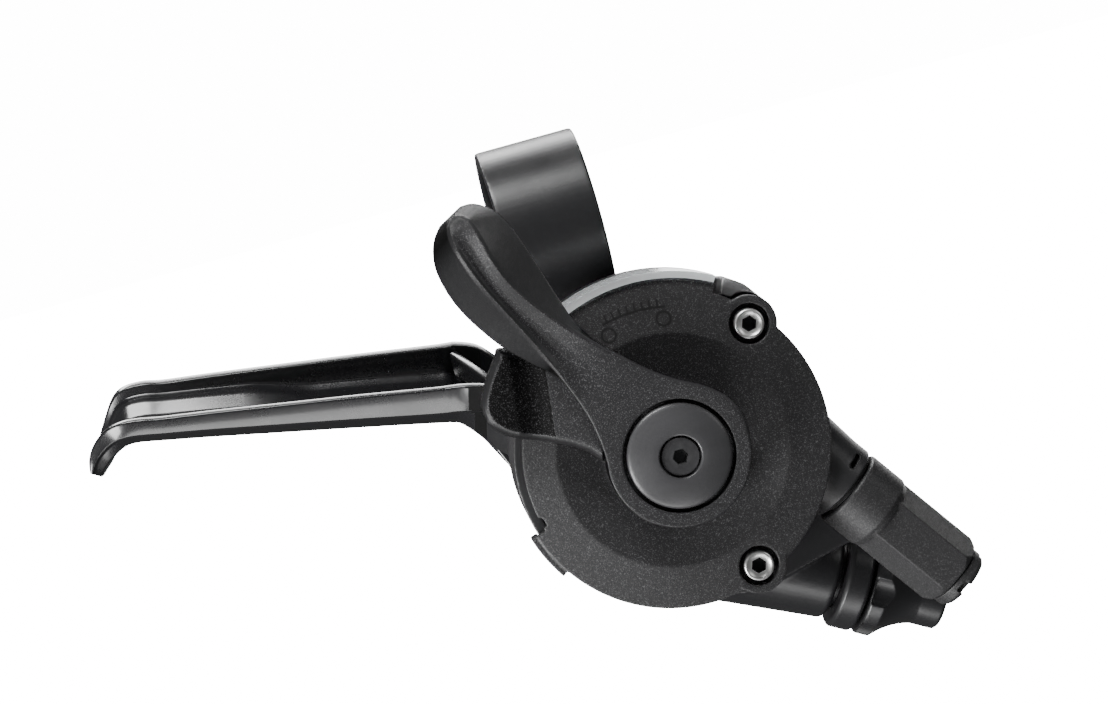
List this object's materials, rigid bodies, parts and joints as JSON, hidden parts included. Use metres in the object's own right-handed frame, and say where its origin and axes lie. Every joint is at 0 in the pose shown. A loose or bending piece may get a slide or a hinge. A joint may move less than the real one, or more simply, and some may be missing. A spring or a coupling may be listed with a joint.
{
  "type": "thumb shifter",
  "caption": "Left-hand bicycle thumb shifter built onto a brake lever and handlebar clamp: round housing, two thumb levers, gear and brake cable adjusters.",
  "frame": {"origin": "centre of the handlebar clamp's bore, on the handlebar's axis", "axes": "+X along the handlebar towards the stem, -Y out of the shifter's front cover, +Z from the shifter up to the clamp"},
  "size_m": [0.1272, 0.0606, 0.0895],
  "materials": {
    "cast_alloy": "satin black anodised alloy",
    "lever_alloy": "gloss black painted alloy",
    "bright_steel": "zinc plated",
    "black_steel": "black oxide",
    "spring_steel": "spring steel",
    "housing_plastic": "spark eroded texture",
    "lever_plastic": "spark eroded texture",
    "adjuster_plastic": "fine matt",
    "clear_plastic": "clear polycarbonate",
    "nylon": "natural nylon",
    "flag_plastic": "signal orange",
    "bush_plastic": "acetal",
    "brass": "turned",
    "ring_rubber": "rubber",
    "cap_plastic": "satin"
  },
  "bodies": {
    "bracket": {"lever_bracket": "cast_alloy", "clamp_bolt": "black_steel", "pivot_bolt": "black_steel", "pivot_nut": "bright_steel", "rear_housing": "housing_plastic", "pod_screws": "bright_steel", "front_cover": "housing_plastic", "cover_screws": "bright_steel", "indicator_lens": "clear_plastic", "axle": "bright_steel", "hub_cap": "cap_plastic", "hub_screw": "black_steel", "base_plate": "bright_steel", "spool_spring": "spring_steel", "lever_spring": "spring_steel", "release_spring": "spring_steel", "hold_pawl_pin": "bright_steel", "slip_washer": "bush_plastic", "adjuster_ring": "ring_rubber"},
    "brake_lever": {"brake_lever": "lever_alloy", "pivot_bushes": "bush_plastic"},
    "cable_anchor": {"cable_anchor": "brass"},
    "shift_lever": {"shift_lever": "lever_plastic", "drive_sleeve": "spring_steel", "drive_carrier": "spring_steel", "drive_pawl_pin": "bright_steel"},
    "drive_pawl": {"drive_pawl": "spring_steel"},
    "release_lever": {"release_lever": "lever_plastic", "release_cam": "spring_steel"},
    "hold_pawl": {"hold_pawl": "spring_steel"},
    "spool": {"cable_spool": "nylon", "ratchet_ring": "spring_steel", "indicator_flag": "flag_plastic"},
    "gear_cable_seat": {"gear_cable_seat": "adjuster_plastic"},
    "gear_adjuster_knob": {"gear_adjuster_knob": "adjuster_plastic"},
    "brake_cable_seat": {"brake_cable_seat": "bright_steel"},
    "brake_adjuster": {"brake_adjuster": "lever_alloy"},
    "brake_lock_ring": {"brake_lock_ring": "lever_alloy"}
  },
  "joints": [
    {"name": "brake_lever_swing", "type": "hinge", "parent": "bracket", "child": "brake_lever", "pos_m": [0.0023, 0, -0.0307], "axis": [0, -1, 0], "range_deg": [0, 26]},
    {"name": "cable_anchor_turn", "type": "hinge", "parent": "brake_lever", "child": "cable_anchor", "pos_m": [-0.0062, 0, -0.04315], "axis": [0, -1, 0], "range_deg": [-26, 0]},
    {"name": "shift_lever_push", "type": "hinge", "parent": "bracket", "child": "shift_lever", "pos_m": [0.0073, 0, -0.0342], "axis": [0, 1, 0], "range_deg": [0, 32], "stiffness_Nm_per_rad": 0.25, "springref_deg": -17.19},
    {"name": "drive_pawl_lift", "type": "hinge", "parent": "shift_lever", "child": "drive_pawl", "pos_m": [-0.00756, 0, -0.04113], "axis": [0, -1, 0], "range_deg": [0, 7], "stiffness_Nm_per_rad": 0.004, "springref_deg": -11.46},
    {"name": "release_lever_pull", "type": "hinge", "parent": "bracket", "child": "release_lever", "pos_m": [0.0073, 0, -0.0342], "axis": [0, 1, 0], "range_deg": [0, 12], "stiffness_Nm_per_rad": 0.3, "springref_deg": -14.32},
    {"name": "hold_pawl_lift", "type": "hinge", "parent": "bracket", "child": "hold_pawl", "pos_m": [0.00037, 0, -0.04906], "axis": [0, 1, 0], "range_deg": [0, 8]},
    {"name": "spool_turn", "type": "hinge", "parent": "bracket", "child": "spool", "pos_m": [0.0073, 0, -0.0342], "axis": [0, 1, 0], "range_deg": [0, 38]},
    {"name": "gear_adjuster_turn", "type": "hinge", "parent": "bracket", "child": "gear_adjuster_knob", "pos_m": [0.03774, -0.0184, -0.05673], "axis": [0.5793, 0, -0.8151], "range_deg": [0, 1801]},
    {"name": "gear_seat_travel", "type": "slide", "parent": "bracket", "child": "gear_cable_seat", "axis": [0.5793, 0, -0.8151], "range_m": [0, 0.005]},
    {"name": "brake_seat_travel", "type": "slide", "parent": "bracket", "child": "brake_cable_seat", "axis": [0.8625, 0, -0.506], "range_m": [0, 0.005]},
    {"name": "brake_adjuster_turn", "type": "hinge", "parent": "brake_cable_seat", "child": "brake_adjuster", "pos_m": [0.0353, 0, -0.0675], "axis": [0.8625, 0, -0.506], "range_deg": [0, 1801]},
    {"name": "brake_lock_ring_turn", "type": "hinge", "parent": "bracket", "child": "brake_lock_ring", "pos_m": [0.03099, 0, -0.06497], "axis": [0.8625, 0, -0.506], "range_deg": [0, 360]}
  ],
  "couplings": [
    {"joint": "cable_anchor_turn", "follows": "brake_lever_swing", "ratio": -1},
    {"joint": "hold_pawl_lift", "follows": "release_lever_pull", "ratio": 0.6},
    {"joint": "gear_adjuster_turn", "follows": "gear_seat_travel", "rad_per_m": 6283.2},
    {"joint": "brake_adjuster_turn", "follows": "brake_seat_travel", "rad_per_m": 6283.2}
  ]
}
